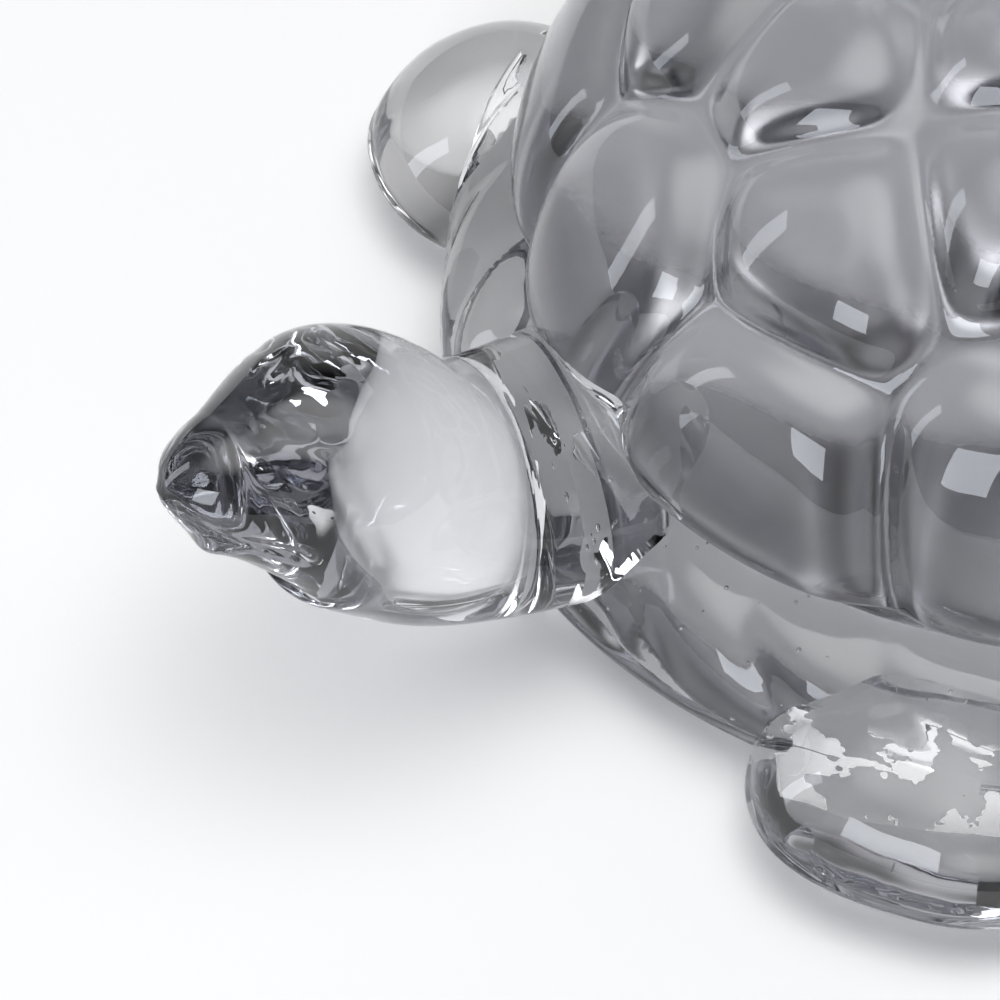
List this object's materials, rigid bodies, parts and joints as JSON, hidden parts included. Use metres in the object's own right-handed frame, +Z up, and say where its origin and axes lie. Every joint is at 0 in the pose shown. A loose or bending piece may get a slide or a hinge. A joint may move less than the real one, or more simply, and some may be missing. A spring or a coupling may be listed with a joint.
{
  "type": "glass turtle figurine",
  "caption": "Solid clear glass turtle ornament: domed shell of raised scutes on a sloping rim, belly slab, raised head, rounded flippers and tail; stands on its flat belly.",
  "frame": {"origin": "middle of the flat underside of the belly slab, in the middle of the shell's plan", "axes": "+Z up, -Y towards the turtle's snout, +X towards the turtle's left side"},
  "size_m": [0.0974, 0.146, 0.0481],
  "materials": {
    "shell_glass": "fire-polished clear pressed glass, faint grey-lavender tint",
    "belly_glass": "clear pressed glass with a ground flat underside",
    "limb_glass": "fire-polished clear glass, nearly colourless where thin"
  },
  "bodies": {
    "root": {"carapace": "shell_glass", "plastron": "belly_glass", "head": "limb_glass", "flipper_front_left": "limb_glass", "flipper_front_right": "limb_glass", "flipper_rear_left": "limb_glass", "flipper_rear_right": "limb_glass", "tail": "limb_glass"}
  },
  "joints": []
}
